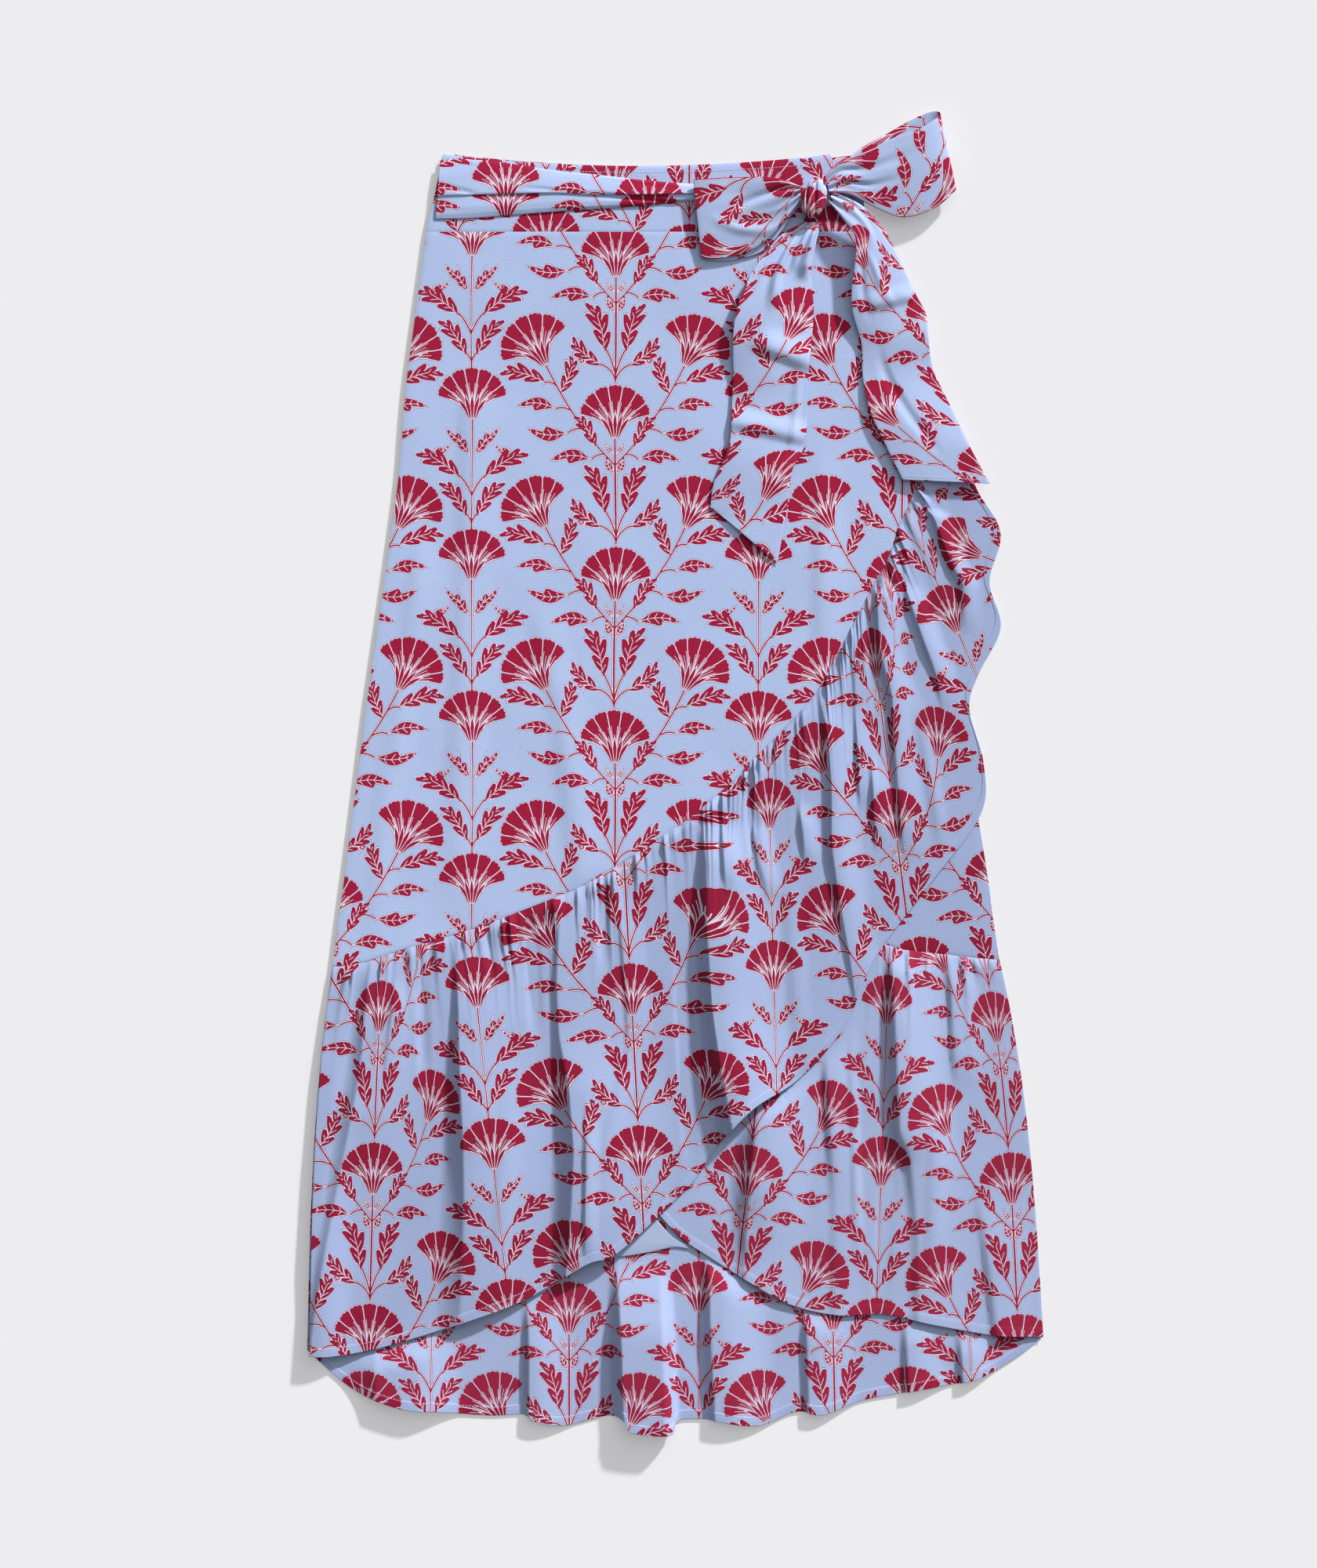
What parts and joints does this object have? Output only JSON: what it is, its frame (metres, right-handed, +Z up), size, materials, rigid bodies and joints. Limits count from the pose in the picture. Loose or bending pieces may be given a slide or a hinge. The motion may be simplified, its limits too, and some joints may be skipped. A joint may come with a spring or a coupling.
{
  "type": "wrap skirt",
  "caption": "Printed wrap skirt with gathered high-low ruffle and tie bow at the waist, laid flat with its fronts lying over its back.",
  "frame": {"origin": "on the surface the skirt lies on, below the centre of its bounding box", "axes": "+Y towards the waist, +Z up out of the cloth's front, +X towards the bow"},
  "size_m": [0.588, 1.0534, 0.0262],
  "materials": {
    "back_cloth": "cotton voile, wrong side of the printed cloth, paler than its face",
    "front_cloth": "cotton voile, periwinkle ground with red block-print flowers outlined in white",
    "tie_cloth": "the same printed cotton voile, doubled and pressed"
  },
  "bodies": {
    "root": {"back_waistband": "back_cloth", "back_panel": "back_cloth", "back_ruffle": "back_cloth", "under_waistband": "front_cloth", "under_panel": "front_cloth", "under_ruffle": "front_cloth", "under_ruffle_turned_hem": "back_cloth", "front_waistband": "front_cloth", "over_panel": "front_cloth", "over_ruffle": "front_cloth", "tie_band": "tie_cloth", "knot": "tie_cloth", "bow_loop_left": "tie_cloth", "bow_loop_right": "tie_cloth", "tail_left": "tie_cloth", "tail_right": "tie_cloth"}
  },
  "joints": []
}
